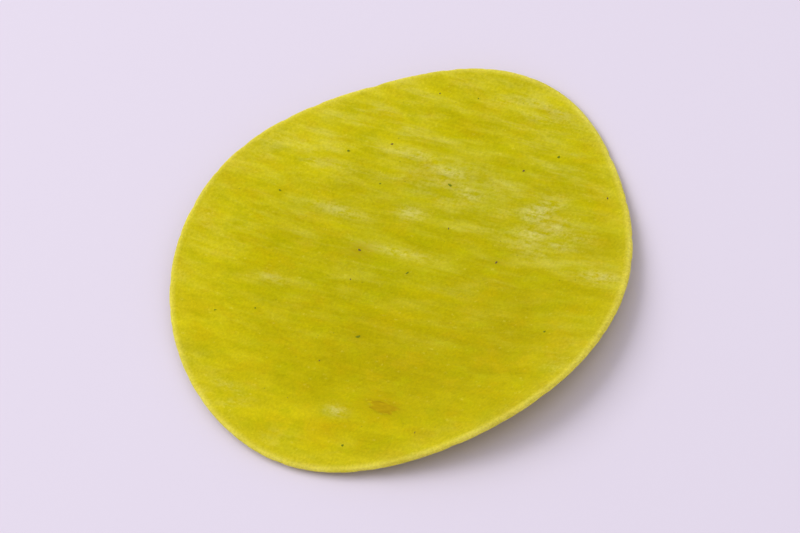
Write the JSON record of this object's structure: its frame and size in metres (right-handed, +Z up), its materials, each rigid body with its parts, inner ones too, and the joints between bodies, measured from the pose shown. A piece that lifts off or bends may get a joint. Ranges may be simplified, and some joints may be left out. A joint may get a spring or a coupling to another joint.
{
  "type": "green chilli rice papadum",
  "caption": "Thin raw papadum: one uneven round of dried, yellow-green rice dough, curled a little, lying flat on its underside.",
  "frame": {"origin": "bottom centre of the papadum's box, on the surface that it lies on", "axes": "+Z up through the thickness, the shown face up; X and Y lie in the papadum's plane, with -Y towards the picture's camera"},
  "size_m": [0.049, 0.0506, 0.0041],
  "materials": {
    "dried_dough": null
  },
  "bodies": {
    "root": {"papadum": "dried_dough"}
  },
  "joints": []
}
